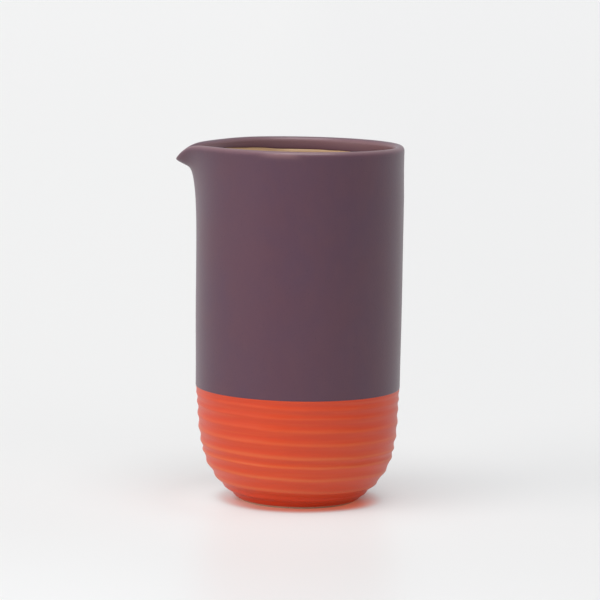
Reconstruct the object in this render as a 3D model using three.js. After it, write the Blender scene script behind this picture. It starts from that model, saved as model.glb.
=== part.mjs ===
import * as THREE from "three";
import { mergeGeometries, mergeVertices } from "three/addons/utils/BufferGeometryUtils.js";

// A thrown pouring jug without a handle: one clay body with a beak pulled out of its rim and finger ridges
// on its rounded lower third, and three fired coats that lie on it. Millimetres, +Z up. The foot stands on
// z = 0, the wheel's axis is the Z axis and the beak points towards -X.

// Overall form, measured over the glaze
const JUG_HEIGHT = 165.8;
const JUG_DIAMETER = 95;
const FOOT_DIAMETER = 55;
const SEAM_HEIGHT = 53; // the two outer coats meet here, and the wall rounds in below it
const BASE_CURVE_POWER = 3.7; // a higher power keeps the wall upright for longer before it rounds in

// Clay
const CLAY_WALL = 3.6;
const FLOOR_THICKNESS = 6;
const HOLLOW_FLAT_DIAMETER = 40; // flat middle of the floor inside
const HOLLOW_CURVE_HEIGHT = 38; // the inside rounds from wall to floor over this height

// Fired coats
const AUBERGINE_COAT = 0.45;
const ORANGE_COAT = 0.3;
const LINER_COAT = 0.3;
const LIP_LAP = 5.5; // the aubergine coat runs this far down inside the rim
const BARE_FOOT_HEIGHT = 1; // clay left bare above the table

// Throwing ridges: one spiral, whose crests sink by a ridge for each turn to the right. The heights are on
// the front, which has the beak at its left.
const RIDGE_CRESTS = [4.7, 9, 15.4, 21.7, 25.7, 32.1, 38.6, 44.4, 48.8];
const RIDGE_DEPTH_AT_SEAM = 0.45; // from crest to groove
const RIDGE_DEPTH_AT_FOOT = 1;
const RIDGE_FADE = 3; // the ridges run out over this height at both ends

// Beak, pulled out and down from the rim
const BEAK_REACH = 12.1; // how far the lip moves out at the tip
const BEAK_DROOP = 6.8; // how far the lip sinks at the tip
const BEAK_HALF_WIDTH = 7.5; // along the rim, from the tip to where half of the reach is left
const BEAK_THROAT_DEPTH = 65; // the wall below the lip that the pull moved at all
const BEAK_BEND_DEPTH = 13; // the throat loses three quarters of its reach over this depth
const BEAK_HOOK_DEPTH = 17; // the wall below the lip that bent down with the tip

// Facets
const COLUMNS = 36; // around the axis
const COLUMN_CROWDING = 0.45; // pushes columns round to the beak
const COLUMN_EVENING = 0.12; // evens the columns away from the beak
const ROWS_PER_RIDGE = 4;
const LIP_STEPS = 4;
const THROAT_ROWS = 8;
const HOLLOW_THROAT_ROWS = 5;
const HOLLOW_CURVE_ROWS = 4;

const TIP_DIRECTION = -Math.PI / 2; // the first column lies on the beak's tip
const FRONT_ANGLE = -Math.PI / 2; // the front, seen from the beak's tip

const FINISHES = {
  clay: { color: 0xcbb097, roughness: 0.85 },
  aubergine: { color: 0x6b4e5a, roughness: 0.6 },
  orange: { color: 0xd4573a, roughness: 0.65 },
  liner: { color: 0xd8c2a0, roughness: 0.35 },
};

// Sizes that follow from those above
const clayRadius = JUG_DIAMETER / 2 - AUBERGINE_COAT;
const clayTop = JUG_HEIGHT - AUBERGINE_COAT;
const hollowRadius = clayRadius - CLAY_WALL;
const lipRound = CLAY_WALL / 2;
const lipCentreRadius = clayRadius - lipRound;
const lipCentreHeight = clayTop - lipRound;
const lapHeight = JUG_HEIGHT - LIP_LAP;
const footRadius = FOOT_DIAMETER / 2;
const hollowFlatRadius = HOLLOW_FLAT_DIAMETER / 2;
const hollowCurveTop = FLOOR_THICKNESS + HOLLOW_CURVE_HEIGHT;

// A station is a point of the clay's half section with the direction that leads straight out of the clay
function station(radius, height, outRadius, outHeight) {
  const out = new THREE.Vector2(outRadius, outHeight).normalize();
  return { point: new THREE.Vector2(radius, height), out };
}

// Half section of the clay, in stretches from the middle of the foot over the lip to the middle of the floor

function roundedWallStation(height) {
  const inset = (SEAM_HEIGHT - height) / SEAM_HEIGHT;
  const drop = clayRadius - footRadius;
  const radius = clayRadius - drop * inset ** BASE_CURVE_POWER;
  const slope = (drop * BASE_CURVE_POWER * inset ** (BASE_CURVE_POWER - 1)) / SEAM_HEIGHT;
  return station(radius, height, 1, -slope);
}

function footStretch() {
  const middle = station(0, 0, 0, -1);
  return [middle, roundedWallStation(0), roundedWallStation(BARE_FOOT_HEIGHT)];
}

// Rows at the crests on the front, and the same number between each two of them
function ridgedStretch() {
  const crests = RIDGE_CRESTS.filter((crest) => crest > BARE_FOOT_HEIGHT && crest < SEAM_HEIGHT);
  const marks = [BARE_FOOT_HEIGHT, ...crests, SEAM_HEIGHT];
  const stations = [roundedWallStation(BARE_FOOT_HEIGHT)];
  for (let mark = 1; mark < marks.length; mark += 1) {
    for (let row = 1; row <= ROWS_PER_RIDGE; row += 1) {
      const height = THREE.MathUtils.lerp(marks[mark - 1], marks[mark], row / ROWS_PER_RIDGE);
      stations.push(roundedWallStation(height));
    }
  }
  return stations;
}

// Heights down the throat from start, which is not among them, each row deeper than the last by one ratio
function throatHeights(start, rows) {
  const startDepth = JUG_HEIGHT - start;
  const heights = [];
  for (let row = 1; row <= rows; row += 1) {
    heights.push(JUG_HEIGHT - startDepth * (BEAK_THROAT_DEPTH / startDepth) ** (row / rows));
  }
  return heights;
}

function plainStretch() {
  const heights = [SEAM_HEIGHT, ...throatHeights(lipCentreHeight, THROAT_ROWS).reverse()];
  return heights.map((height) => station(clayRadius, height, 1, 0));
}

function lipStretch() {
  const stations = [];
  for (let step = 0; step <= LIP_STEPS; step += 1) {
    const turn = (Math.PI * step) / LIP_STEPS;
    const outRadius = Math.cos(turn);
    const outHeight = Math.sin(turn);
    const radius = lipCentreRadius + lipRound * outRadius;
    const height = lipCentreHeight + lipRound * outHeight;
    stations.push(station(radius, height, outRadius, outHeight));
  }
  return stations;
}

function lapStretch() {
  return [station(hollowRadius, lapHeight, -1, 0)];
}

function hollowStretch() {
  const heights = [lapHeight, ...throatHeights(lapHeight, HOLLOW_THROAT_ROWS)];
  const stations = heights.map((height) => station(hollowRadius, height, -1, 0));
  const curveWidth = hollowRadius - hollowFlatRadius;
  for (let row = 0; row <= HOLLOW_CURVE_ROWS; row += 1) {
    const turn = (Math.PI / 2) * (row / HOLLOW_CURVE_ROWS);
    const radius = hollowFlatRadius + curveWidth * Math.cos(turn);
    const height = hollowCurveTop - HOLLOW_CURVE_HEIGHT * Math.sin(turn);
    const outRadius = -Math.cos(turn) / curveWidth;
    const outHeight = Math.sin(turn) / HOLLOW_CURVE_HEIGHT;
    stations.push(station(radius, height, outRadius, outHeight));
  }
  stations.push(station(0, FLOOR_THICKNESS, 0, 1));
  return stations;
}

// What the potter's hands do to the turned form

// Share of the beak's pull at an angle from the tip, 1 at the tip
function beakShare(angle) {
  const halfAngle = BEAK_HALF_WIDTH / (JUG_DIAMETER / 2);
  return 1 / (1 + (angle / halfAngle) ** 2);
}

function throatShare(depth) {
  if (depth >= BEAK_THROAT_DEPTH) {
    return 0;
  }
  return (1 - (depth / BEAK_THROAT_DEPTH) ** 2) / (1 + depth / BEAK_BEND_DEPTH) ** 2;
}

function hookShare(depth) {
  return 1 - THREE.MathUtils.smootherstep(depth, 0, BEAK_HOOK_DEPTH);
}

// Ridges counted up from the lowest crest at a height on the front, with a share of a ridge between crests
function ridgeCount(height) {
  const last = RIDGE_CRESTS.length - 1;
  let below = 0;
  while (below < last - 1 && RIDGE_CRESTS[below + 1] < height) {
    below += 1;
  }
  const pitch = RIDGE_CRESTS[below + 1] - RIDGE_CRESTS[below];
  return below + (height - RIDGE_CRESTS[below]) / pitch;
}

// How deep the groove is at a point of the wall, 0 on a crest
function grooveDepth(height, turnsToRight) {
  const depth = THREE.MathUtils.lerp(RIDGE_DEPTH_AT_FOOT, RIDGE_DEPTH_AT_SEAM, height / SEAM_HEIGHT);
  const fadeUp = THREE.MathUtils.smoothstep(SEAM_HEIGHT - height, 0, RIDGE_FADE);
  const fadeDown = THREE.MathUtils.smoothstep(height - BARE_FOOT_HEIGHT, 0, RIDGE_FADE);
  const ridges = ridgeCount(height) + turnsToRight;
  return (depth / 2) * fadeUp * fadeDown * (1 - Math.cos(2 * Math.PI * ridges));
}

// Crowds the evenly spaced columns round the beak, and gives the angle from the tip
function columnAngle(evenAngle) {
  return evenAngle - COLUMN_CROWDING * Math.sin(evenAngle) - COLUMN_EVENING * Math.sin(2 * evenAngle);
}

function shapeByHand(geometry, ridged) {
  const positions = geometry.attributes.position;
  for (let i = 0; i < positions.count; i += 1) {
    const x = positions.getX(i);
    const y = positions.getY(i);
    const height = positions.getZ(i);
    const angle = columnAngle(Math.atan2(y, -x));
    const depth = Math.max(JUG_HEIGHT - height, 0);
    const pull = beakShare(angle);
    let radius = Math.hypot(x, y) + BEAK_REACH * pull * throatShare(depth);
    if (ridged) {
      const turnsToRight = (FRONT_ANGLE - angle) / (2 * Math.PI);
      radius -= grooveDepth(height, turnsToRight);
    }
    const sunk = height - BEAK_DROOP * pull ** 2 * hookShare(depth);
    positions.setXYZ(i, -radius * Math.cos(angle), radius * Math.sin(angle), sunk);
  }
  return geometry;
}

// Turns a stretch of the section about the axis, moved straight out of the clay by lift
function turned(stations, lift, ridged) {
  const profile = stations.map(({ point, out }) => point.clone().addScaledVector(out, lift));
  return turnedProfile(profile, ridged);
}

function turnedProfile(profile, ridged) {
  const surface = new THREE.LatheGeometry(profile, COLUMNS, TIP_DIRECTION).rotateX(Math.PI / 2);
  return shapeByHand(surface, ridged);
}

function facingBack(geometry) {
  const index = geometry.index;
  for (let i = 0; i < index.count; i += 3) {
    const first = index.getX(i);
    index.setX(i, index.getX(i + 1));
    index.setX(i + 1, first);
  }
  return geometry;
}

// Joins surfaces that share their rims into one closed skin
function closedSkin(surfaces) {
  const joined = mergeGeometries(surfaces);
  joined.deleteAttribute("normal");
  joined.deleteAttribute("uv");
  const skin = mergeVertices(joined);
  skin.computeVertexNormals();
  return skin;
}

// A fired coat on a stretch of the clay: its back is the clay's own surface
function coat(stations, thickness, ridged) {
  const surfaces = [turned(stations, thickness, ridged), facingBack(turned(stations, 0, ridged))];
  const face = ({ point, out }) => point.clone().addScaledVector(out, thickness);
  const start = stations[0];
  surfaces.push(turnedProfile([start.point, face(start)], ridged));
  const end = stations[stations.length - 1];
  if (end.point.x > 0) {
    surfaces.push(turnedProfile([face(end), end.point], ridged));
  }
  return closedSkin(surfaces);
}

function piece(name, geometry, finish) {
  const material = new THREE.MeshStandardMaterial(finish);
  const mesh = new THREE.Mesh(geometry, material);
  mesh.name = name;
  return mesh;
}

function stonewareBody() {
  const smoothStretch = [...plainStretch(), ...lipStretch(), ...lapStretch(), ...hollowStretch().slice(1)];
  const surfaces = [
    turned(footStretch(), 0, false),
    turned(ridgedStretch(), 0, true),
    turned(smoothStretch, 0, false),
  ];
  return piece("stoneware_body", closedSkin(surfaces), FINISHES.clay);
}

function aubergineGlaze() {
  const stretch = [...plainStretch(), ...lipStretch(), ...lapStretch()];
  return piece("aubergine_glaze", coat(stretch, AUBERGINE_COAT, false), FINISHES.aubergine);
}

function orangeGlaze() {
  return piece("orange_glaze", coat(ridgedStretch(), ORANGE_COAT, true), FINISHES.orange);
}

function linerGlaze() {
  return piece("liner_glaze", coat(hollowStretch(), LINER_COAT, false), FINISHES.liner);
}

const jug = new THREE.Group();
jug.name = "pouring_jug";
jug.add(stonewareBody(), aubergineGlaze(), orangeGlaze(), linerGlaze());

export default jug;
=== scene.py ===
# %% [markdown]
# # A thrown pouring jug
# The real jug is one lump of stoneware, thrown on a wheel, with three glazes fired on to it. This lesson
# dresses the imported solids: they are loaded as a fixed frame, and each one gets a finer skin in its place.
# The skins could be drawn by hand, but a thrown pot follows a few plain rules, so nodes can make it.

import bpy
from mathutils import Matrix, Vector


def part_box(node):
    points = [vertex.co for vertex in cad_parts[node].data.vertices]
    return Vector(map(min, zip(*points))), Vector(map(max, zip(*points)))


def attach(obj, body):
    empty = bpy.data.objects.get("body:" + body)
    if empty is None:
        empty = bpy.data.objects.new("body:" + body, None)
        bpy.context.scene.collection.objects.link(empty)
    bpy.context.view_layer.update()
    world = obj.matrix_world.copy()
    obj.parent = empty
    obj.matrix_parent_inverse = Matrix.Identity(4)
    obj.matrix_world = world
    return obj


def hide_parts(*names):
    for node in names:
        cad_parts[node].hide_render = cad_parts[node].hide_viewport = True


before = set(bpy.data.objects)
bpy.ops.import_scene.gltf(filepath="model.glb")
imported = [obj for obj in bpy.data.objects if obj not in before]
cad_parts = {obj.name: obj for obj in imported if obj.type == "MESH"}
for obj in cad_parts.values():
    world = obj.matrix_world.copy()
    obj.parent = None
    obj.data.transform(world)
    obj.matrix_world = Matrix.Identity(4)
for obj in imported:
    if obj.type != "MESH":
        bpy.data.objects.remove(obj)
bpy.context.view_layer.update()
print("solids:", ", ".join(sorted(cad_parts)))

# %% [markdown]
# ## The sizes of the pot
# These are the potter's sizes, in millimetres: how tall, how wide, how thick. Nearly all of them repeat the
# solids' own sizes, and the printed boxes show where the solids stand. Blender works in metres, so one
# factor turns them over.

# %% Sizes
import math

import bpy
import numpy as np
from mathutils import Matrix, Vector

MM = 0.001
RIM_HEIGHT = 165.8
CLAY_RADIUS = 47.05
FOOT_RADIUS = 27.5
SEAM_HEIGHT = 53.0  # orange below, aubergine above
BASE_CURVE_POWER = 3.7
CLAY_WALL = 3.6
FLOOR_THICKNESS = 6.0
HOLLOW_FLAT_RADIUS = 20.0
HOLLOW_CURVE_HEIGHT = 38.0
AUBERGINE_COAT = 0.45
ORANGE_COAT = 0.3
LINER_COAT = 0.3
LIP_LAP = 5.75  # the aubergine runs this far down inside
BARE_FOOT_HEIGHT = 1.0

for node in sorted(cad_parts):
    low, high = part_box(node)
    print(node, "spans", [round(value / MM, 1) for value in (*low, *high)], "mm")

# %% [markdown]
# ## The half section
# A pot on the wheel is fully described by half of its section: the line that a template held against the
# turning clay would follow. Ours starts in the middle of the foot, climbs the outside, rounds the lip and
# goes down inside to the middle of the floor. One long list of points would do, but written as stretches,
# each glaze can borrow its own part of it.

# %% Stretches of the clay's section
HOLLOW_RADIUS = CLAY_RADIUS - CLAY_WALL
LIP_ROUND = CLAY_WALL / 2
LIP_HEIGHT = RIM_HEIGHT - AUBERGINE_COAT - LIP_ROUND  # middle of the lip's round
LAP_HEIGHT = RIM_HEIGHT - LIP_LAP
FOOT_EDGE = 0.3  # the rim of the foot, where the points stand closer
CURVE_POINTS = 28  # on the rounded bottom inside
RIDGED_STEP = 0.25  # between points on the ridged glaze
HOLLOW_STEP = 2.0  # between points on the inside


def outside_radius(height):
    rise = np.clip((SEAM_HEIGHT - height) / SEAM_HEIGHT, 0, 1)
    return CLAY_RADIUS - (CLAY_RADIUS - FOOT_RADIUS) * rise**BASE_CURVE_POWER


def steps(start, end, step):
    return np.linspace(start, end, max(2, round(abs(end - start) / step) + 1))


def column(radius, height):
    return np.column_stack(np.broadcast_arrays(radius, height)).astype(float)


def foot_stretch(step):
    flat = steps(0, FOOT_RADIUS - FOOT_EDGE, step)
    return column(np.append(flat, [FOOT_RADIUS - FOOT_EDGE / 2, FOOT_RADIUS]), 0)


def base_stretch(start, end, step):
    heights = steps(start, end, step)
    return column(outside_radius(heights), heights)


def ridged_stretch(step):
    return base_stretch(BARE_FOOT_HEIGHT, SEAM_HEIGHT, step)


def plain_stretch(step):
    return column(CLAY_RADIUS, steps(SEAM_HEIGHT, LIP_HEIGHT, step))


def lip_stretch(points):
    turn = np.linspace(0, np.pi, points)
    centre = CLAY_RADIUS - LIP_ROUND
    return column(centre + LIP_ROUND * np.cos(turn), LIP_HEIGHT + LIP_ROUND * np.sin(turn))


def lap_stretch(step):
    return column(HOLLOW_RADIUS, steps(LIP_HEIGHT, LAP_HEIGHT, step))


def hollow_stretch(step):
    curve_top = FLOOR_THICKNESS + HOLLOW_CURVE_HEIGHT
    turn = np.linspace(0, np.pi / 2, CURVE_POINTS)
    bend = HOLLOW_RADIUS - HOLLOW_FLAT_RADIUS
    wall = column(HOLLOW_RADIUS, steps(LAP_HEIGHT, curve_top, step))
    curve_heights = curve_top - HOLLOW_CURVE_HEIGHT * np.sin(turn)
    curve = column(HOLLOW_FLAT_RADIUS + bend * np.cos(turn), curve_heights)
    floor = column(steps(HOLLOW_FLAT_RADIUS, 0, step), FLOOR_THICKNESS)
    return np.vstack([wall, curve[1:], floor[1:]])


print("points on the ridged stretch:", len(ridged_stretch(RIDGED_STEP)))
print("points on the hollow:", len(hollow_stretch(HOLLOW_STEP)))

# %% [markdown]
# ## A glaze as a closed skin
# Fired glaze is a real layer, a third to half a millimetre thick, with a soft rounded edge where it stops.
# Each coat's section is therefore a closed loop: out along the face of the glaze, and back along the clay
# under it. Painting two colours on one surface would look alike from afar, but it would lose the step at
# the seam.

# %% Lift a stretch off the clay
EDGE_ROUND = 0.5  # a coat's edge rounds off over this length
EDGE_FINEST = 0.03  # the first step from a coat's edge
EDGE_POINTS = 8


def crowded(line):
    """Adds points close to the line's first end, for a round edge."""
    length = np.linalg.norm(line[1] - line[0])
    shares = np.geomspace(EDGE_FINEST / length, 1, EDGE_POINTS)[:-1, None]
    return np.vstack([line[:1], line[0] + (line[1] - line[0]) * shares, line[1:]])


def with_edges(line):
    return crowded(crowded(line)[::-1])[::-1]


def lifted(line, thickness, first_share, last_share):
    """The coat's face. The shares say how much of its thickness is left at the two ends."""
    tangent = np.gradient(line, axis=0)
    out = np.column_stack([tangent[:, 1], -tangent[:, 0]])
    out /= np.linalg.norm(out, axis=1)[:, None]
    path = np.append(0, np.cumsum(np.linalg.norm(np.diff(line, axis=0), axis=1)))
    swell = np.ones(len(line))
    for share, distance in ((first_share, path), (last_share, path[-1] - path)):
        inside = 1 - np.clip(distance / EDGE_ROUND, 0, 1)
        swell = np.minimum(swell, share + (1 - share) * np.sqrt(1 - inside**2))
    return line + out * (thickness * swell)[:, None]


def joined(*stretches):
    return np.vstack([stretches[0], *[stretch[1:] for stretch in stretches[1:]]])


print("a coat's edge gets", EDGE_POINTS - 1, "extra points over one step of the section")

# %% Loops of the glazes and the clay
FULL = 1.0
FEATHERED = 0.1  # the orange is this thin where it starts above the foot

aubergine_line = joined(plain_stretch(step=1.2), lip_stretch(points=25), lap_stretch(step=0.6))
aubergine_line = with_edges(aubergine_line)
seam_share = ORANGE_COAT / AUBERGINE_COAT
lap_share = LINER_COAT / AUBERGINE_COAT
aubergine_face = lifted(aubergine_line, AUBERGINE_COAT, seam_share, lap_share)
aubergine_loop = np.vstack([aubergine_face, aubergine_line[::-1], aubergine_face[:1]])

orange_line = with_edges(ridged_stretch(RIDGED_STEP))
orange_face = lifted(orange_line, ORANGE_COAT, FEATHERED, FULL)
orange_back = orange_line[::-2]  # every other point is enough where nobody looks
orange_loop = np.vstack([orange_face, orange_back, orange_face[:1]])

liner_line = hollow_stretch(HOLLOW_STEP)
liner_loop = np.vstack([liner_line[::-1], lifted(liner_line, LINER_COAT, FULL, FULL)])

clay_foot = foot_stretch(step=3.0)
clay_bare = base_stretch(0, BARE_FOOT_HEIGHT, RIDGED_STEP)
clay_ridged = ridged_stretch(step=0.5)
clay_lip = joined(plain_stretch(step=1.5), lip_stretch(points=13), lap_stretch(step=1.0))
clay_loop = joined(clay_foot, clay_bare, clay_ridged, clay_lip, hollow_stretch(HOLLOW_STEP))
print("points in the loops:", len(aubergine_loop), len(orange_loop), len(liner_loop), len(clay_loop))

# %% [markdown]
# ## Sums in a node tree
# Every rule below is a sum over node values. Placing a Math node for each plus sign by hand hides the
# rule, so this small class lets a node value be written like any other number, and places the Math nodes
# itself.


# %% Node values that can be added and multiplied
class Value:
    """One number of a node tree. Arithmetic on it places Math nodes."""

    def __init__(self, tree, socket):
        self.tree = tree
        self.socket = socket

    def feed(self, socket):
        self.tree.links.new(self.socket, socket)

    def math(self, operation, *terms):
        node = self.tree.nodes.new("ShaderNodeMath")
        node.operation = operation
        for socket, term in zip(node.inputs, terms):
            give(socket, term)
        return Value(self.tree, node.outputs[0])

    def __add__(self, other):
        return self.math("ADD", self, other)

    def __sub__(self, other):
        return self.math("SUBTRACT", self, other)

    def __rsub__(self, other):
        return self.math("SUBTRACT", other, self)

    def __mul__(self, other):
        return self.math("MULTIPLY", self, other)

    def __truediv__(self, other):
        return self.math("DIVIDE", self, other)

    def __rtruediv__(self, other):
        return self.math("DIVIDE", other, self)

    def __pow__(self, other):
        return self.math("POWER", self, other)

    __radd__ = __add__
    __rmul__ = __mul__

    def of(self, operation):
        return self.math(operation, self)

    def at_least(self, lowest):
        return self.math("MAXIMUM", self, lowest)

    def ramp(self, start, end, low=0.0, high=1.0, kind="SMOOTHSTEP"):
        """Goes from low to high while the value goes from start to end."""
        node = self.tree.nodes.new("ShaderNodeMapRange")
        node.interpolation_type = kind
        names = ("Value", "From Min", "From Max", "To Min", "To Max")
        for name, term in zip(names, (self, start, end, low, high)):
            give(node.inputs[name], term)
        return Value(self.tree, node.outputs["Result"])


def give(socket, term):
    """Links a node value to a socket, or sets a plain number on it."""
    if isinstance(term, Value):
        term.feed(socket)
    else:
        socket.default_value = term


print("node values can be joined with + - * / and **")

# %% [markdown]
# ## Trees with named sizes
# A Geometry Nodes tree is easiest to reuse when its sizes are named inputs. This helper opens a tree with a
# geometry going in and out, and one input for each size, whose default is the size itself. The others place
# the few kinds of node that the trees below need.


# %% Open a geometry tree
def open_tree(name, **sizes):
    tree = bpy.data.node_groups.new(name, "GeometryNodeTree")
    tree.interface.new_socket("Geometry", in_out="INPUT", socket_type="NodeSocketGeometry")
    tree.interface.new_socket("Geometry", in_out="OUTPUT", socket_type="NodeSocketGeometry")
    for label, size in sizes.items():
        kind = "NodeSocketInt" if isinstance(size, int) else "NodeSocketFloat"
        socket = tree.interface.new_socket(label.replace("_", " "), in_out="INPUT", socket_type=kind)
        socket.default_value = size
    start = tree.nodes.new("NodeGroupInput")
    end = tree.nodes.new("NodeGroupOutput")
    values = {label: Value(tree, start.outputs[label.replace("_", " ")]) for label in sizes}
    return tree, start.outputs["Geometry"], end.inputs["Geometry"], values


def add_node(tree, kind, **inputs):
    node = tree.nodes.new(kind)
    for label, term in inputs.items():
        socket = node.inputs[label.replace("_", " ")]
        if isinstance(term, bpy.types.NodeSocket):
            tree.links.new(term, socket)
        else:
            give(socket, term)
    return node


def split(tree, vector):
    node = add_node(tree, "ShaderNodeSeparateXYZ", Vector=vector)
    return [Value(tree, socket) for socket in node.outputs]


def vector_of(tree, x, y, z):
    return add_node(tree, "ShaderNodeCombineXYZ", X=x, Y=y, Z=z).outputs[0]


def moved_to(tree, geometry, place):
    return add_node(tree, "GeometryNodeSetPosition", Geometry=geometry, Position=place).outputs[0]


def moved_by(tree, geometry, offset):
    return add_node(tree, "GeometryNodeSetPosition", Geometry=geometry, Offset=offset).outputs[0]


def named(tree, attribute):
    return add_node(tree, "GeometryNodeInputNamedAttribute", Name=attribute).outputs["Attribute"]


def stored(tree, geometry, attribute, value):
    node = add_node(tree, "GeometryNodeStoreNamedAttribute", Geometry=geometry, Name=attribute, Value=value)
    return node.outputs["Geometry"]


def around(tree):
    """Position's x, y and z, the angle from the beak's tip, and the distance from the wheel's axis."""
    x, y, z = split(tree, tree.nodes.new("GeometryNodeInputPosition").outputs[0])
    return x, y, z, y.math("ARCTAN2", y, 0 - x), (x * x + y * y).of("SQRT")


tree_helpers = (open_tree, add_node, split, vector_of, moved_to, moved_by, named, stored, around)
print("helpers for trees:", ", ".join(helper.__name__ for helper in tree_helpers))

# %% [markdown]
# ## Turning on the wheel
# The wheel turns one section into a whole pot. The Screw modifier could do this, but it spaces its columns
# evenly, and the beak needs them close together. Here a grid is bent round the axis: each column of the
# grid is one copy of the section, and a sine crowds the columns towards the beak.

# %% The turning tree
MARKS = ("ridged", "wavy", "thin")  # what a point of the section can carry on to the pot
ROUNDING_GUARD = 1e-5  # keeps a whole quotient from being rounded down to the number below
MERGE_DISTANCE = 0.001 * MM

turning, geometry, result, size = open_tree(
    "turning_on_the_wheel", Columns=192, Crowding_at_beak=0.45, Evening_elsewhere=0.12
)
section_points = add_node(turning, "GeometryNodeAttributeDomainSize", Geometry=geometry)
rows = Value(turning, section_points.outputs["Point Count"])
grid = add_node(turning, "GeometryNodeMeshGrid", Vertices_X=size["Columns"] + 1, Vertices_Y=rows)
index = Value(turning, turning.nodes.new("GeometryNodeInputIndex").outputs[0])
column_number = (index / rows + ROUNDING_GUARD).of("FLOOR")
row_number = index - column_number * rows


def from_section(value, kind):
    node = turning.nodes.new("GeometryNodeSampleIndex")
    node.data_type = kind
    turning.links.new(geometry, node.inputs["Geometry"])
    turning.links.new(value, node.inputs["Value"])
    give(node.inputs["Index"], row_number)
    return node.outputs["Value"]


even = column_number / size["Columns"] * math.tau
crowding = size["Crowding_at_beak"] * even.of("SINE")
angle = even - crowding - size["Evening_elsewhere"] * (even * 2).of("SINE")
position = turning.nodes.new("GeometryNodeInputPosition").outputs[0]
section_radius, _, section_height = split(turning, from_section(position, "FLOAT_VECTOR"))
turned = grid.outputs["Mesh"]
for mark in MARKS:
    carried = Value(turning, from_section(named(turning, mark), "FLOAT"))
    turned = stored(turning, turned, mark, carried)
x = 0 - section_radius * angle.of("COSINE")
y = section_radius * angle.of("SINE")
turned = moved_to(turning, turned, vector_of(turning, x, y, section_height))
merged = add_node(turning, "GeometryNodeMergeByDistance", Geometry=turned, Distance=MERGE_DISTANCE)
outward_faces = add_node(turning, "GeometryNodeFlipFaces", Mesh=merged.outputs[0])
turning.links.new(outward_faces.outputs[0], result)
print("turning tree:", len(turning.nodes), "nodes")

# %% [markdown]
# ## Throwing ridges
# The potter's fingertip rose slowly while the wheel turned, so the ridges are one spiral. A stack of rings
# would be simpler, but rings don't climb. A curve says how many ridges lie below each height, the angle
# adds the spiral, and a sine of that count gives rounded grooves with narrow crests. The tree also keeps
# the crests and grooves as attributes, because the glaze runs thin on the one and pools in the other.

# %% Count the ridges
RIDGE_CRESTS = [4.7, 9.0, 15.4, 21.7, 25.7, 32.1, 38.6, 44.4, 48.8]  # heights on the front
FRONT_ANGLE = -math.pi / 2  # from the beak's tip, with the beak at the left
PRESSURE_GRAINS = 35.0  # per metre, in the noise of the fingers' pressure
PRESSURE_SQUEEZE = 2.5  # the grains are this much flatter than wide

ridging, geometry, result, size = open_tree(
    "throwing_ridges",
    Depth_at_foot=0.95 * MM,
    Depth_at_seam=0.32 * MM,
    Seam_height=SEAM_HEIGHT * MM,
    Bare_foot_height=BARE_FOOT_HEIGHT * MM,
    Fade=3.0 * MM,
    Roundness=1.4,
    Finger_lines=0.07 * MM,
    Uneven_pressure=0.5,
    Uneven_pitch=0.12,
    Light_line_shift=0.1,
)
x, y, z, angle, radius = around(ridging)


def swinging_noise(tree, vector, grains, detail):
    """Noise that swings between -1 and 1, with about that many grains to the metre."""
    noise = add_node(tree, "ShaderNodeTexNoise", Vector=vector, Scale=grains, Detail=detail)
    return (Value(tree, noise.outputs[0]) - 0.5) * 2


lowest = -RIDGE_CRESTS[0] / (RIDGE_CRESTS[1] - RIDGE_CRESTS[0])
last = len(RIDGE_CRESTS) - 1
highest = last + (SEAM_HEIGHT - RIDGE_CRESTS[last]) / (RIDGE_CRESTS[last] - RIDGE_CRESTS[last - 1])
counter = add_node(ridging, "ShaderNodeFloatCurve", Value=z / size["Seam_height"])
points = counter.mapping.curves[0].points
for number, crest in enumerate(RIDGE_CRESTS):
    points.new(crest / SEAM_HEIGHT, (number - lowest) / (highest - lowest))
for point in points:
    point.handle_type = "VECTOR"
counter.mapping.update()
count = Value(ridging, counter.outputs[0]) * (highest - lowest) + lowest
squeezed = vector_of(ridging, x, y, z * PRESSURE_SQUEEZE)
wander = swinging_noise(ridging, squeezed, PRESSURE_GRAINS, detail=1.0)
phase = count + (FRONT_ANGLE - angle) / math.tau + wander * size["Uneven_pitch"]
print("ridges from foot to seam:", round(highest - lowest, 1), "on", len(points), "curve points")


# %% Cut the ridges
def span(start, end):
    """From and to, in millimetres."""
    return start * MM, end * MM


LINES_ALONG = 12  # grains to the metre along a finger line
LINES_UP = 620  # and across it
FINGER_TILT = 0.0184  # the lines lean by this slope
CREST_WIDTH = (0.35, 1.0)  # how much of a crest's flank belongs to its light line
FADING_CRESTS = span(45, 22)  # the light lines are weaker near the seam
WEAKEST_CREST = 0.25

above_bare = z - size["Bare_foot_height"]
fade = (size["Seam_height"] - z).ramp(0.0, size["Fade"]) * above_bare.ramp(0.0, size["Fade"])
change = size["Depth_at_seam"] - size["Depth_at_foot"]
depth = size["Depth_at_foot"] + change * z / size["Seam_height"]
groove = (phase * math.pi).of("SINE").of("ABSOLUTE") ** size["Roundness"]
leaning = (z + x * FINGER_TILT) * LINES_UP
line_place = vector_of(ridging, x * LINES_ALONG, y * LINES_ALONG, leaning)
fine = swinging_noise(ridging, line_place, grains=1.0, detail=2.0) * size["Finger_lines"]
ridged = Value(ridging, named(ridging, "ridged"))
inward = (depth * (1 + wander * size["Uneven_pressure"]) * groove + fine) * fade * ridged
crest = 1 - ((phase - size["Light_line_shift"]) * math.pi).of("SINE").of("ABSOLUTE")
crest = crest.ramp(*CREST_WIDTH) * z.ramp(*FADING_CRESTS, low=WEAKEST_CREST)
marked = stored(ridging, geometry, "crest", crest * fade * ridged)
marked = stored(ridging, marked, "groove", groove * fade * ridged)
push = vector_of(ridging, 0 - x / radius * inward, 0 - y / radius * inward, 0.0)
ridging.links.new(moved_by(ridging, marked, push), result)
print("ridge tree:", len(ridging.nodes), "nodes")

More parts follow.
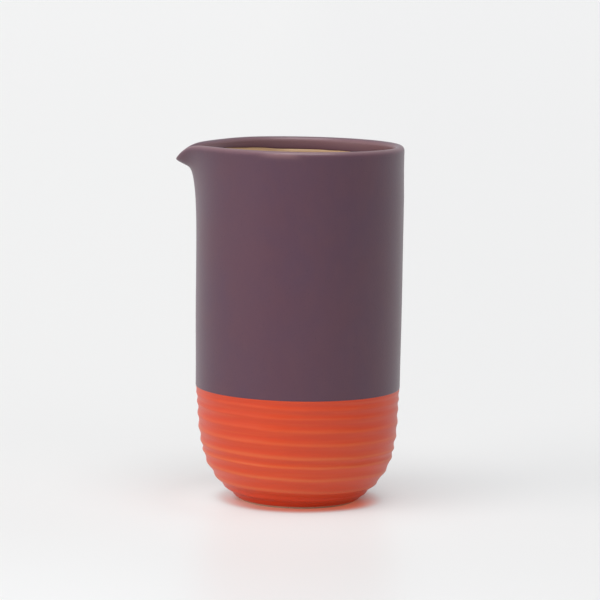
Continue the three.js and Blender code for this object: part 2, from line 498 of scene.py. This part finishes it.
# %% [markdown]
# ## The unevenness of a hand
# A thrown wall is never a perfect tube. This one swells by a hair at half height, most on the beak's side,
# draws in under the rim and has a slight waist under the seam. The foot was trimmed, and it stands a little
# off centre. A sculpting brush could do all this, but here each departure keeps a name and a size. Small
# as they are, they show on the outline, and a dead straight outline looks machined.

# %% Uneven wall and foot
SWELLING_ABOVE_SEAM = span(0, 42)
SWELLING_BELOW_RIM = span(16, 66)
SWELLING_AT_BEAK = 0.6  # this share more on the beak's side, and less across from it
DRAWING_BELOW_RIM = span(28, 6)
SWAY_GRAINS = 14.0
SWAY_ABOVE_FOOT = span(0, 20)
WAIST_BELOW_SEAM = span(0, -12)
WAIST_ABOVE_FOOT = span(16, 26)
TRIMMED_FOOT = span(9, 1)
SHIFT_BELOW_SEAM = span(0, -45)

wobbling, geometry, result, size = open_tree(
    "uneven_by_hand",
    Seam_height=SEAM_HEIGHT * MM,
    Rim_height=RIM_HEIGHT * MM,
    Swelling=0.3 * MM,
    Drawing_in=0.35 * MM,
    Waist=0.5 * MM,
    Foot_trim=0.7 * MM,
    Foot_off_centre=0.9 * MM,
    Front_sag=0.34 * MM,
    Shoulder_sag=0.73 * MM,
    Edge_wave=0.4 * MM,
    Edge_rise=2.0 * MM,
    Edge_fall=0.9 * MM,
    Unevenness=0.15 * MM,
)
x, y, z, angle, radius = around(wobbling)
below_rim = size["Rim_height"] - z
above_seam = z - size["Seam_height"]
swelling = size["Swelling"] * above_seam.ramp(*SWELLING_ABOVE_SEAM) * below_rim.ramp(*SWELLING_BELOW_RIM)
swelling = swelling * (1 + angle.of("COSINE") * SWELLING_AT_BEAK)
drawing = size["Drawing_in"] * below_rim.ramp(*DRAWING_BELOW_RIM) * (1 - angle.of("COSINE")) / 2
sway = swinging_noise(wobbling, vector_of(wobbling, x, y, z), SWAY_GRAINS, detail=1.0)
sway = sway * size["Unevenness"] * z.ramp(*SWAY_ABOVE_FOOT)
waist = size["Waist"] * above_seam.ramp(*WAIST_BELOW_SEAM) * z.ramp(*WAIST_ABOVE_FOOT)
outward = swelling - drawing - waist - size["Foot_trim"] * z.ramp(*TRIMMED_FOOT) + sway
off_centre = size["Foot_off_centre"] * above_seam.ramp(*SHIFT_BELOW_SEAM, kind="LINEAR")
print("uneven wall:", len(wobbling.nodes), "nodes so far")

# %% [markdown]
# The rim isn't level either: it sags at the front and at the beak's far shoulder. Inside, the edge of the
# aubergine lap wavers, climbs towards the beak and falls on the other side. Only points that carry the
# wavy mark follow it, so the clay under the edge stays where it is.

# %% Uneven rim and lap
SMALLEST_RADIUS = 0.01 * MM  # keeps points on the axis from dividing by zero
FRONT_HALF = (0.0, 0.3)  # as a sine round the axis
BACK_HALF = (-0.15, 0.15)
CLEAR_OF_TIP = (0.1, 0.5)  # as an angle from the beak's tip
SHOULDER = (0.35, 1.1)
FRONT_SAG_BELOW_RIM = span(45, 2)
SHOULDER_SAG_BELOW_RIM = span(25, 2)
EDGE_GRAINS = 90.0
EDGE_LEVEL = 0.3  # one height for all points, so that the wave is the same down the wall
RISE_TO_BEAK = span(-8, -45)
FALL_FROM_BEAK = span(5, 40)

axis = radius.at_least(SMALLEST_RADIUS)
from_beak = angle.of("ABSOLUTE")
at_front = (0 - y / axis).ramp(*FRONT_HALF) * from_beak.ramp(*CLEAR_OF_TIP)
far_shoulder = from_beak.ramp(*SHOULDER, low=1.0, high=0.0) * (y / axis).ramp(*BACK_HALF)
sag = size["Front_sag"] * at_front * below_rim.ramp(*FRONT_SAG_BELOW_RIM)
sag = sag + size["Shoulder_sag"] * far_shoulder * below_rim.ramp(*SHOULDER_SAG_BELOW_RIM)
wave = swinging_noise(wobbling, vector_of(wobbling, x, y, EDGE_LEVEL), EDGE_GRAINS, detail=2.0)
rise = size["Edge_rise"] * x.ramp(*RISE_TO_BEAK)
fall = size["Edge_fall"] * x.ramp(*FALL_FROM_BEAK)
wave = (wave * size["Edge_wave"] + rise - fall) * Value(wobbling, named(wobbling, "wavy"))
push = vector_of(wobbling, x / axis * outward + off_centre, y / axis * outward, wave - sag)
wobbling.links.new(moved_by(wobbling, geometry, push), result)
print("unevenness tree:", len(wobbling.nodes), "nodes")

# %% [markdown]
# ## The pulled beak
# With the clay still soft, two fingers held the rim and a third pulled a beak out between them. The wall
# moves outwards most at the tip and less with every millimetre to the side and down, and the lip also
# sinks. A lattice could bend each layer, but this tree is that one movement as a rule, applied to every
# layer alike, so that glaze and clay stay together.

# %% Pull the wall
BEAK_HALF_WIDTH = 12.0  # along the rim, from the tip to where half of the pull is left
BEND_POWER = 1.11  # how sharply the bend under the lip ends
DROOP_POWER = 2.76  # the sinking keeps closer to the tip than the pull does

pulling, geometry, result, size = open_tree(
    "pulled_beak",
    Rim_height=RIM_HEIGHT * MM,
    Reach=10.5 * MM,
    Droop=5.9 * MM,
    Half_width=BEAK_HALF_WIDTH / (CLAY_RADIUS + AUBERGINE_COAT),  # as an angle
    Lip_depth=2.8 * MM,
    Bend_share=0.18,
    Bend_depth=5.7 * MM,
    Neck_depth=15.8 * MM,
    Throat_depth=65.0 * MM,
    Hook_depth=16.1 * MM,
    Thin_glaze=0.35,
    Worn_spot=0.8,
)
x, y, z, angle, radius = around(pulling)
depth = (size["Rim_height"] - z).at_least(0.0)
pull = 1 / (1 + (angle / size["Half_width"]).of("ABSOLUTE") ** 2)
under_lip = (depth - size["Lip_depth"]).at_least(0.0)
bend = (0 - (under_lip / size["Bend_depth"]) ** BEND_POWER).of("EXPONENT")
neck = 1 / (1 + under_lip / size["Neck_depth"]) ** 2
end = (1 - (depth / size["Throat_depth"]) ** 2).at_least(0.0)
throat = (bend * size["Bend_share"] + neck * (1 - size["Bend_share"])) * end
hook = depth.ramp(0.0, size["Hook_depth"], low=1.0, high=0.0, kind="SMOOTHERSTEP")
outward = size["Reach"] * pull * throat
sunk = size["Droop"] * pull**DROOP_POWER * hook
print("pull of the beak:", len(pulling.nodes), "nodes so far")

# %% [markdown]
# The pull also stretches the glaze, so it is thinner at the beak, and the front lip has one paler spot.
# Both could be painted, but here they only raise the pale mark, which the aubergine finish reads.

# %% Thin glaze
THIN_POWER = 3
THIN_BELOW_RIM = span(5, 1)
SPOT_FROM_LEFT = span(-24, -11)
SPOT_FROM_RIGHT = span(3, -6)
SPOT_AT_FRONT = span(0, 20)
SPOT_OUTSIDE = span(45, 46)  # as a distance from the axis
SPOT_FROM_BELOW = span(4.5, 1.2)  # as a depth below the rim
SPOT_FROM_ABOVE = span(0.4, 1.8)

thin = Value(pulling, named(pulling, "thin"))
thin = thin.at_least(size["Thin_glaze"] * pull**THIN_POWER * depth.ramp(*THIN_BELOW_RIM))
sideways = x.ramp(*SPOT_FROM_LEFT) * x.ramp(*SPOT_FROM_RIGHT)
spot = sideways * (0 - y).ramp(*SPOT_AT_FRONT) * radius.ramp(*SPOT_OUTSIDE)
# a paler spot on the front lip, just below the rim's top
pale_share = size["Worn_spot"] * spot * depth.ramp(*SPOT_FROM_BELOW) * depth.ramp(*SPOT_FROM_ABOVE)
marked = stored(pulling, geometry, "thin", thin.at_least(pale_share))
axis = radius.at_least(SMALLEST_RADIUS)
push = vector_of(pulling, x / axis * outward, y / axis * outward, 0 - sunk)
pulling.links.new(moved_by(pulling, marked, push), result)
print("beak tree:", len(pulling.nodes), "nodes")

# %% [markdown]
# ## One tree for every layer
# Clay and glazes go through the same hands in the same order: turned, ridged, made uneven, pulled. One tree
# for each layer would repeat these steps, so the four trees are groups inside a fifth. Its last nodes make
# the result real and give it its finish, because the export drops instances.

# %% The whole tree
throwing, geometry, result, _ = open_tree("thrown_layer")
finish_socket = throwing.interface.new_socket("Finish", in_out="INPUT", socket_type="NodeSocketMaterial")
finish_input = next(node for node in throwing.nodes if node.type == "GROUP_INPUT").outputs["Finish"]
for step in (turning, ridging, wobbling, pulling):
    group = throwing.nodes.new("GeometryNodeGroup")
    group.node_tree = step
    throwing.links.new(geometry, group.inputs["Geometry"])
    geometry = group.outputs["Geometry"]
geometry = add_node(throwing, "GeometryNodeSetShadeSmooth", Geometry=geometry).outputs[0]
geometry = add_node(throwing, "GeometryNodeRealizeInstances", Geometry=geometry).outputs[0]
finished = add_node(throwing, "GeometryNodeSetMaterial", Geometry=geometry, Material=finish_input)
throwing.links.new(finished.outputs[0], result)
print("layer tree:", [node.node_tree.name for node in throwing.nodes if node.type == "GROUP"])

# %% [markdown]
# ## Finishes
# Fired glaze is never one flat colour, so each finish blends a few tones by noise and by the marks that the
# trees left on the mesh. Pictures could be wrapped round the jug, but they blur close up and need a seam.
# These helpers open a material, make noise of a given grain size, and blend one tone into the next.

# %% Material helpers
CLOUDS = (0.3, 0.7)  # the part of a noise over which one tone turns into the other


def open_finish(name, roughness):
    """The roughness is a middle value, which most finishes vary afterwards."""
    material = bpy.data.materials.new(name)
    material.use_nodes = True
    tree = material.node_tree
    shader = tree.nodes["Principled BSDF"]
    shader.inputs["Roughness"].default_value = roughness
    place = tree.nodes.new("ShaderNodeTexCoord").outputs["Object"]
    return material, tree, shader, place


def grain(tree, place, size, detail=2.0, stretch=(1, 1, 1), tilt=0.0):
    """Noise from 0 to 1 whose grains are about size millimetres, longer where stretch is below 1."""
    mapping = add_node(tree, "ShaderNodeMapping", Vector=place)
    mapping.inputs["Scale"].default_value = [share / (size * MM) for share in stretch]
    mapping.inputs["Rotation"].default_value = (0, tilt, 0)
    noise = add_node(tree, "ShaderNodeTexNoise", Vector=mapping.outputs[0], Scale=1.0, Detail=detail)
    return Value(tree, noise.outputs[0])


def kept(tree, attribute):
    """A number that the geometry trees left on the mesh."""
    node = tree.nodes.new("ShaderNodeAttribute")
    node.attribute_name = attribute
    return Value(tree, node.outputs["Fac"])


def blend(tree, first, second, share):
    """A colour between two, by a share."""
    node = tree.nodes.new("ShaderNodeMix")
    node.data_type = "RGBA"
    colour_sockets = [socket for socket in node.inputs if socket.type == "RGBA"]
    give(node.inputs["Factor"], share)
    for socket, colour in zip(colour_sockets, (first, second)):
        if isinstance(colour, bpy.types.NodeSocket):
            tree.links.new(colour, socket)
        else:
            socket.default_value = (*colour, 1)
    return next(socket for socket in node.outputs if socket.type == "RGBA")


def raise_grain(tree, shader, height, strength, distance):
    bump = add_node(tree, "ShaderNodeBump", Height=height, Strength=strength, Distance=distance * MM)
    tree.links.new(bump.outputs[0], shader.inputs["Normal"])


finish_helpers = (open_finish, grain, kept, blend, raise_grain)
print("helpers for finishes:", ", ".join(helper.__name__ for helper in finish_helpers))

# %% [markdown]
# ### Matt aubergine
# A matt glaze is full of tiny crystals: no mirror in it, only a soft sheen, and a colour that drifts a
# little where it lies thicker or thinner. On the lip the glaze runs thin and the brown clay warms it, and
# the same pale tone is also a painted highlight along the lip and painted light on the inside below it. One
# mark says where, so the pale lip follows the shape and not a line drawn by height.

# %% Aubergine
WARM_AUBERGINE = (0.089, 0.0348, 0.0565)
COOL_AUBERGINE = (0.081, 0.0342, 0.0602)
LIGHT_AUBERGINE = (0.101, 0.040, 0.058)
AUBERGINE_SPECK = (0.054, 0.025, 0.041)
# the pale tone of thinner glaze, also a painted highlight on the lip and painted light inside it
THIN_AUBERGINE_AND_HIGHLIGHT = (0.285, 0.156, 0.164)
DRIFTS = (0.35, 0.75)  # the part of its noise in which the drift shows
AUBERGINE_SPECKS = (0.6, 0.8)

aubergine, tree, shader, place = open_finish("matt_aubergine_glaze", roughness=0.35)
cloud = grain(tree, place, size=26, detail=3.0)
drift = grain(tree, place, size=5, stretch=(1, 1, 0.6))
speck = grain(tree, place, size=0.8)
brushed = grain(tree, place, size=3, stretch=(0.15, 0.15, 1))
tone = blend(tree, WARM_AUBERGINE, COOL_AUBERGINE, share=cloud.ramp(*CLOUDS))
tone = blend(tree, tone, LIGHT_AUBERGINE, share=drift.ramp(*DRIFTS) * 0.35)
tone = blend(tree, tone, AUBERGINE_SPECK, share=speck.ramp(*AUBERGINE_SPECKS) * 0.55)
# pale tone: thinner glaze at the beak and lip, plus painted highlight on the lip and painted light inside
tone = blend(tree, tone, THIN_AUBERGINE_AND_HIGHLIGHT, share=kept(tree, "thin") * 0.8)
tree.links.new(tone, shader.inputs["Base Color"])
roughness = 0.34 + speck * 0.1 - cloud * 0.06
roughness.feed(shader.inputs["Roughness"])
raise_grain(tree, shader, speck + brushed * 0.8, strength=0.25, distance=0.12)
print("aubergine:", len(tree.nodes), "nodes")

# %% [markdown]
# ### Matt orange
# The orange coat pools a little in the grooves, where it is redder, and runs thin on the crests, where a
# lighter, yellower line shows. From 40 mm down it is painted lighter, standing in for light from the table
# below, and just above the foot it is painted darker and deeper, a painted contact shadow. Stripes could be
# drawn by height alone, but they would stay level. The ridge tree's attribute makes the lines climb with
# the ridges all the way round.

# %% Orange
LIGHTER_ORANGE = (0.606, 0.0490, 0.0080)
DEEPER_ORANGE = (0.580, 0.0445, 0.0070)
LOWER_PAINTED_LIGHT_ORANGE = (0.650, 0.0605, 0.0088)
GROOVE_ORANGE = (0.575, 0.043, 0.0060)
STRAND_ORANGE = (0.630, 0.080, 0.0140)
CREST_ORANGE = (0.630, 0.128, 0.0340)
FOOT_PAINTED_SHADE_ORANGE = (0.605, 0.039, 0.0035)
ORANGE_SPECK = (0.440, 0.031, 0.0080)
LOWER_PAINTED_LIGHT_HEIGHTS = span(40, 14)
FOOT_PAINTED_SHADE_HEIGHTS = span(12, 4)
STRANDS = (0.45, 0.75)
ORANGE_SPECKS = (0.66, 0.82)

orange, tree, shader, place = open_finish("matt_orange_glaze", roughness=0.35)
height = split(tree, place)[2]
cloud = grain(tree, place, size=22)
strand = grain(tree, place, size=1.5, stretch=(0.03, 0.03, 1), tilt=FINGER_TILT)
speck = grain(tree, place, size=0.7)
tone = blend(tree, LIGHTER_ORANGE, DEEPER_ORANGE, share=cloud.ramp(*CLOUDS))
# painted light: lighter from 40 mm down, standing in for light from the table below
tone = blend(tree, tone, LOWER_PAINTED_LIGHT_ORANGE, share=height.ramp(*LOWER_PAINTED_LIGHT_HEIGHTS) * 0.8)
tone = blend(tree, tone, GROOVE_ORANGE, share=kept(tree, "groove") * 0.35)
tone = blend(tree, tone, STRAND_ORANGE, share=strand.ramp(*STRANDS) * 0.4)
tone = blend(tree, tone, CREST_ORANGE, share=kept(tree, "crest") * (0.4 + strand * 0.5))
# painted shade: darker and deeper just above the foot, a contact shadow
tone = blend(tree, tone, FOOT_PAINTED_SHADE_ORANGE, share=height.ramp(*FOOT_PAINTED_SHADE_HEIGHTS))
tone = blend(tree, tone, ORANGE_SPECK, share=speck.ramp(*ORANGE_SPECKS) * 0.25)
tree.links.new(tone, shader.inputs["Base Color"])
roughness = 0.32 + speck * 0.12
roughness.feed(shader.inputs["Roughness"])
raise_grain(tree, shader, speck * 0.7 + strand, strength=0.25, distance=0.12)
print("orange:", len(tree.nodes), "nodes")

# %% [markdown]
# ### Cream liner
# The inside has a smooth, food-safe glaze in warm cream, with faint rings left by the fingers. The rings
# could be modelled, but they are finer than the mesh, so noise stretched along the wall raises them.

# %% Liner
WARM_CREAM = (0.500, 0.310, 0.160)
DEEP_CREAM = (0.460, 0.283, 0.146)
CREAM_SPECK = (0.370, 0.220, 0.115)
CREAM_SPECKS = (0.68, 0.8)

liner, tree, shader, place = open_finish("cream_liner_glaze", roughness=0.35)
cloud = grain(tree, place, size=18, detail=3.0)
speck = grain(tree, place, size=0.9)
ring = grain(tree, place, size=4, stretch=(0.05, 0.05, 1))
tone = blend(tree, WARM_CREAM, DEEP_CREAM, share=cloud.ramp(*CLOUDS))
tone = blend(tree, tone, CREAM_SPECK, share=speck.ramp(*CREAM_SPECKS) * 0.5)
tree.links.new(tone, shader.inputs["Base Color"])
roughness = 0.32 + cloud * 0.1
roughness.feed(shader.inputs["Roughness"])
raise_grain(tree, shader, ring + speck * 0.2, strength=0.2, distance=0.15)
print("liner:", len(tree.nodes), "nodes")

# %% [markdown]
# ### Bare stoneware
# The foot stays bare, or the jug would fuse to the kiln shelf. Fired stoneware is buff and sandy, with dark
# iron specks and the rings that a tool leaves on the turning foot. A sine of the distance from the axis
# draws these rings, and noise keeps them from being perfect circles.

# %% Bare clay
LIGHT_BUFF = (0.660, 0.510, 0.380)
DARK_BUFF = (0.580, 0.430, 0.310)
SAND_GRAIN = (0.740, 0.610, 0.480)
IRON_SPECK = (0.180, 0.100, 0.060)
SAND_GRAINS = (0.5, 0.8)
IRON_SPECKS = (0.7, 0.78)
TOOL_RING = 1.1 * MM

clay, tree, shader, place = open_finish("bare_stoneware_clay", roughness=0.85)
cloud = grain(tree, place, size=12, detail=3.0)
sand = grain(tree, place, size=0.5, detail=3.0)
iron = grain(tree, place, size=1.3, detail=1.0)
x, y, _ = split(tree, place)
ring = ((x * x + y * y).of("SQRT") / TOOL_RING + cloud * 2).of("SINE")
tone = blend(tree, LIGHT_BUFF, DARK_BUFF, share=cloud.ramp(*CLOUDS))
tone = blend(tree, tone, SAND_GRAIN, share=sand.ramp(*SAND_GRAINS) * 0.5)
tone = blend(tree, tone, IRON_SPECK, share=iron.ramp(*IRON_SPECKS) * 0.7)
tree.links.new(tone, shader.inputs["Base Color"])
roughness = 0.78 + sand * 0.15
roughness.feed(shader.inputs["Roughness"])
raise_grain(tree, shader, sand + ring * 0.25, strength=0.4, distance=0.15)
print("clay:", len(tree.nodes), "nodes")

# %% [markdown]
# ## Marks on the sections
# Each layer starts as its section, a plain line of points that carry three marks: where ridges may cut,
# where a glaze's edge may waver, and how thin the glaze has run, a mark that also holds painted highlight
# on the lip and painted light inside it. Weight painting on the finished pot would do as well, but on the
# section a mark is one short rule that goes all the way round.

# %% Marks
LAP_REACH = 3.5  # the wavering fades out over this distance from the lap's edge
# On the lip the mark is partly thinner glaze and partly painted highlight; on the lap it is painted light.
LIP_TURNS = (0, 30, 45, 65, 90, 110, 138, 160, 180)  # degrees over the lip, from the outside to the inside
LIP_THIN_AND_HIGHLIGHT = (0.05, 0.3, 0.5, 0.6, 0.25, 0.05, 0.5, 0.75, 0.8)
LAP_THIN_AND_PAINTED_LIGHT = (0.2, 0.8)  # at the lap's edge, and where the lip's round ends
WALL_THINNESS = 0.1  # where the wall meets the lip, gone one millimetre further down


def near_lap(loop):
    """1 at the edge between aubergine and cream, fading to 0 away from it."""
    inside = loop[:, 0] < CLAY_RADIUS - LIP_ROUND
    return np.clip(1 - np.abs(loop[:, 1] - LAP_HEIGHT) / LAP_REACH, 0, 1) * inside


def over_the_lip(loop):
    """Paleness from the outside to the lap's edge: thinner glaze, painted highlight and painted light."""
    above = loop[:, 1] - LIP_HEIGHT
    inside = CLAY_RADIUS - LIP_ROUND - loop[:, 0]
    turn = np.degrees(np.arctan2(above, 0 - inside))
    on_lip = np.interp(turn, LIP_TURNS, LIP_THIN_AND_HIGHLIGHT)
    on_lap = np.interp(above, (LAP_HEIGHT - LIP_HEIGHT, 0), LAP_THIN_AND_PAINTED_LIGHT)
    on_wall = np.clip(WALL_THINNESS * (1 + above), 0, 1)
    return np.where(above > 0, on_lip, np.where(inside > 0, on_lap, on_wall))


def on_ridges():
    """1 on the clay's outside up to the seam, 0 elsewhere."""
    ridged_clay = np.zeros(len(clay_loop))
    start = len(clay_foot)
    ridged_clay[start:start + len(clay_bare) + len(clay_ridged)] = 1
    return ridged_clay


print("ridged points on the clay:", int(on_ridges().sum()), "of", len(clay_loop))

# %% [markdown]
# ## Throw the layers
# The layer tree turns each section into a pot. A live modifier would keep the sizes open to change, but the
# frame wants plain meshes, so the result is copied into one and the modifier goes.


# %% Throw one layer
def throw(name, loop, finish, **marks):
    mesh = bpy.data.meshes.new(name)
    line = [(point, point + 1) for point in range(len(loop) - 1)]
    mesh.from_pydata([(radius * MM, 0, height * MM) for radius, height in loop], line, [])
    for mark in MARKS:
        values = np.zeros(len(loop), np.float32) + marks.get(mark, 0)
        attribute = mesh.attributes.new(mark, "FLOAT", "POINT")
        attribute.data.foreach_set("value", values.astype(np.float32))
    piece = bpy.data.objects.new(name, mesh)
    bpy.context.scene.collection.objects.link(piece)
    modifier = piece.modifiers.new("thrown", "NODES")
    modifier.node_group = throwing
    modifier[finish_socket.identifier] = finish
    evaluated = piece.evaluated_get(bpy.context.evaluated_depsgraph_get())
    thrown = bpy.data.meshes.new_from_object(evaluated)
    piece.modifiers.clear()
    piece.data = thrown
    thrown.name = name
    thrown.materials.clear()  # the grid brought an empty slot along
    thrown.materials.append(finish)
    thrown.calc_loop_triangles()
    print(name, len(thrown.loop_triangles), "triangles, finish", thrown.materials[0].name)
    return piece


# %% The four layers
lap_mark = near_lap(aubergine_loop)
lip_mark = over_the_lip(aubergine_loop)
body = throw("stoneware_body_fine", clay_loop, clay, ridged=on_ridges())
upper = throw("aubergine_glaze_fine", aubergine_loop, aubergine, wavy=lap_mark, thin=lip_mark)
lower = throw("orange_glaze_fine", orange_loop, orange, ridged=1)
inner = throw("liner_glaze_fine", liner_loop, liner, wavy=near_lap(liner_loop))

# %% [markdown]
# ## Join the frame
# Each fine layer stands for its solid: it rides on the same body and hides the solid.

# %% Frame calls
for piece, node, slot in (
    (body, "stoneware_body", "bare_stoneware"),
    (upper, "aubergine_glaze", "matt_aubergine"),
    (lower, "orange_glaze", "matt_orange"),
    (inner, "liner_glaze", "cream_liner"),
):
    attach(piece, "root")
    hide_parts(node)
    print(piece.name, "stands for", node)

# %% [markdown]
# ## The table
# The jug stands on a pale table with no edge in sight. A curved sheet of paper would do in a studio, but
# one very large square is simpler and has no bend to hide. It is smooth enough to mirror a little of the
# foot, and it is painted a little lighter on the left and towards the front, as light from a lamp close
# by would fall.

# %% Table
TABLE_REACH = 30.0  # metres each way, so that its edge lies far beyond the view
TABLE_LEFT = (0.790, 0.782, 0.773)
TABLE_RIGHT = (0.762, 0.755, 0.750)
TABLE_FRONT = (0.880, 0.880, 0.880)
RIGHT_OF_JUG = span(-120, 150)
LEFT_OF_JUG = span(150, -120)
NEARER_THAN_JUG = span(-50, -300)

corners = [(-1, -1), (1, -1), (1, 1), (-1, 1)]
table_mesh = bpy.data.meshes.new("table")
table_mesh.from_pydata([(x * TABLE_REACH, y * TABLE_REACH, 0) for x, y in corners], [], [range(4)])
table = bpy.data.objects.new("table", table_mesh)
bpy.context.scene.collection.objects.link(table)
surface, tree, shader, place = open_finish("pale_table", roughness=0.38)
shader.inputs["Specular IOR Level"].default_value = 0.27
across, depth, _ = split(tree, place)
# painted light: the table is lighter on the left and towards the front, as from a lamp close by
nearer = depth.ramp(*NEARER_THAN_JUG) * across.ramp(*LEFT_OF_JUG, low=0.3)
tone = blend(tree, TABLE_LEFT, TABLE_RIGHT, share=across.ramp(*RIGHT_OF_JUG))
tone = blend(tree, tone, TABLE_FRONT, share=nearer)
tree.links.new(tone, shader.inputs["Base Color"])
table_mesh.materials.append(surface)
print("table:", round(2 * TABLE_REACH), "metres wide,", len(tree.nodes), "nodes")

# %% [markdown]
# ### Glow on the table
# The table in the photograph is almost white, and close to the foot it takes an orange spill from the
# glaze. More lamps would light the jug too, so two thin layers of glow are mixed into the table's finish.
# They count for what the camera sees, straight or in a reflection, and spread no light on to the jug.


# %% White glow
def seen_directly(tree):
    """1 for what the camera sees, straight or in a reflection, and 0 for light that spreads."""
    path = tree.nodes.new("ShaderNodeLightPath")
    seen = Value(tree, path.outputs["Is Camera Ray"])
    for ray in ("Is Glossy Ray", "Is Transmission Ray"):
        seen = seen.at_least(Value(tree, path.outputs[ray]))
    return seen


WHITE_GLOW = (1, 1, 1, 1)
WHITE_SHARE = 0.31
CLEAR_OF_FOOT = span(30, 42)  # from here on outwards, as a distance from the axis
FRONT_SHARE = 0.1  # more white in front of the foot
FRONT_SIDE = (0.5, 1.0)  # as a sine round the axis
FRONT_STARTS = span(34, 40)
FRONT_ENDS = span(50, 160)
LEFT_SHARE = 0.3  # and at its left
LEFT_SIDE = (0.4, 1.0)
LEFT_STARTS = span(26, 31)
LEFT_ENDS = span(36, 65)

from_axis = (across * across + depth * depth).of("SQRT")
to_front = 0 - depth / from_axis
to_left = 0 - across / from_axis
front_ring = from_axis.ramp(*FRONT_STARTS) * from_axis.ramp(*FRONT_ENDS, low=1.0, high=0.0)
left_ring = from_axis.ramp(*LEFT_STARTS) * from_axis.ramp(*LEFT_ENDS, low=1.0, high=0.0)
in_front = to_front.ramp(*FRONT_SIDE) * front_ring
on_left = to_left.ramp(*LEFT_SIDE) * left_ring
white = from_axis.ramp(*CLEAR_OF_FOOT, high=WHITE_SHARE) + on_left * LEFT_SHARE + in_front * FRONT_SHARE
print("white glow:", len(tree.nodes), "nodes so far")

# %% Orange spill, and both layers
ORANGE_SPILL = (0.79, 0.115, 0.035, 1)
SPILL_SHARE = 0.5
SPILL_ENDS = span(31, 39)
SPILL_SHIFT = 3 * MM  # the spill reaches this much further on the right
RIGHT_SIDE = (0.4, 1.0)
ALL_BUT_BACK = (-0.2, 0.7)  # the spill is weaker at the back
ALL_BUT_LEFT = (-0.8, -0.2)  # and a little weaker on the left

to_right = across / from_axis
spilled = from_axis - to_right.ramp(*RIGHT_SIDE, high=SPILL_SHIFT)
spill = spilled.ramp(*SPILL_ENDS, low=SPILL_SHARE, high=0.0)
spill = spill * to_front.ramp(*ALL_BUT_BACK, low=0.3) * to_right.ramp(*ALL_BUT_LEFT, low=0.75)
layer = shader
for colour, share in ((WHITE_GLOW, white), (ORANGE_SPILL, spill)):
    glow = add_node(tree, "ShaderNodeEmission", Color=colour, Strength=1.0)
    mixed = add_node(tree, "ShaderNodeMixShader", Fac=seen_directly(tree) * share)
    tree.links.new(layer.outputs[0], mixed.inputs[1])
    tree.links.new(glow.outputs[0], mixed.inputs[2])
    layer = mixed
tree.links.new(layer.outputs[0], tree.nodes["Material Output"].inputs["Surface"])
print("table with its glow:", len(tree.nodes), "nodes")

# %% [markdown]
# ## Light
# The light is large and soft: most comes from above, some from the front and some from the left. A sun with
# a wide angle gives the same light over the whole table, where a lamp close by would fade towards the back.
# Only the light from above may show as a sheen, as the real glaze has no bright spot on its side.


# %% Lamps
def sun(name, towards, strength, angle, colour):
    lamp = bpy.data.lights.new(name, "SUN")
    lamp.energy = strength
    lamp.angle = math.radians(angle)
    lamp.color = colour
    lamp_object = bpy.data.objects.new(name, lamp)
    bpy.context.scene.collection.objects.link(lamp_object)
    lamp_object.rotation_euler = Vector(towards).to_track_quat("Z", "Y").to_euler()
    return lamp_object


sun("soft_light_above", towards=(-0.03, -0.22, 0.975), strength=2.15, angle=48, colour=(0.98, 0.99, 1))
front = sun(
    "soft_light_front", towards=(0.34, -0.88, 0.33), strength=0.70, angle=60, colour=(1, 0.99, 0.98)
)
left = sun(
    "soft_light_left", towards=(-0.85, -0.45, 0.27), strength=1.96, angle=50, colour=(1, 0.975, 0.95)
)
for lamp_object in (front, left):
    lamp_object.visible_glossy = False
print("lights:", [light.name for light in bpy.data.lights])

# %% [markdown]
# ### Surroundings in the sheen
# A matt glaze still mirrors its surroundings softly, so the world is a plain studio: light at the back, at
# the left and above, and darker at the front right. A picture of a studio would do too, but a few ramps
# are enough for a sheen. This counts for what is seen, straight or in a reflection. The light that the
# world spreads is much weaker, and stronger on the right than on the left.

# %% World
STUDIO_COLOUR = (0.94, 0.97, 1, 1)

world = bpy.data.worlds.new("studio")
bpy.context.scene.world = world
world.use_nodes = True
tree = world.node_tree
background = tree.nodes["Background"]
background.inputs["Color"].default_value = STUDIO_COLOUR
# A direction runs from -1 to 1: from left to right, from the front to the back, and from below to above.
across, depth, up = split(tree, tree.nodes.new("ShaderNodeTexCoord").outputs["Generated"])
back_wall = depth.ramp(-0.9, -0.1, low=0.45, high=0.8)
ceiling = up.ramp(0.45, 0.9, high=0.2)
left_wall = across.ramp(-0.2, -0.9, high=0.12)
dark_corner = across.ramp(0.2, 0.8, high=0.2) * depth.ramp(0.5, -0.2)
walls = back_wall + ceiling + left_wall - dark_corner
spread_light = across.ramp(0.0, 1.0, low=0.12, high=0.26)
strength = seen_directly(tree).ramp(0.0, 1.0, low=spread_light, high=walls, kind="LINEAR")
strength.feed(background.inputs["Strength"])
print("world:", len(tree.nodes), "nodes")

# %% [markdown]
# ## Camera
# The photograph was taken from a little above the rim, from far enough away that the wall's sides stay
# nearly parallel, and with the camera leaning by one degree. A camera could be aimed with a Track To
# constraint, but the lean is easier to set as a turn of its own.

# %% Camera
SENSOR_WIDTH = 36.0
LENS = 183.6
CAMERA_PLACE = (0.00035, -1.4081, 0.27141)
LOOK_DOWN = 7.216  # degrees below the level
LEAN = 1.051  # degrees

camera_data = bpy.data.cameras.new("camera")
camera_data.sensor_width = SENSOR_WIDTH
camera_data.lens = LENS
camera = bpy.data.objects.new("camera", camera_data)
bpy.context.scene.collection.objects.link(camera)
look_down = Matrix.Rotation(math.radians(90 - LOOK_DOWN), 4, "X")
lean = Matrix.Rotation(math.radians(LEAN), 4, "Z")
camera.matrix_world = Matrix.Translation(CAMERA_PLACE) @ look_down @ lean
bpy.context.scene.camera = camera
bpy.context.scene.view_settings.view_transform = "Standard"
print("camera at", [round(value, 3) for value in camera.location])
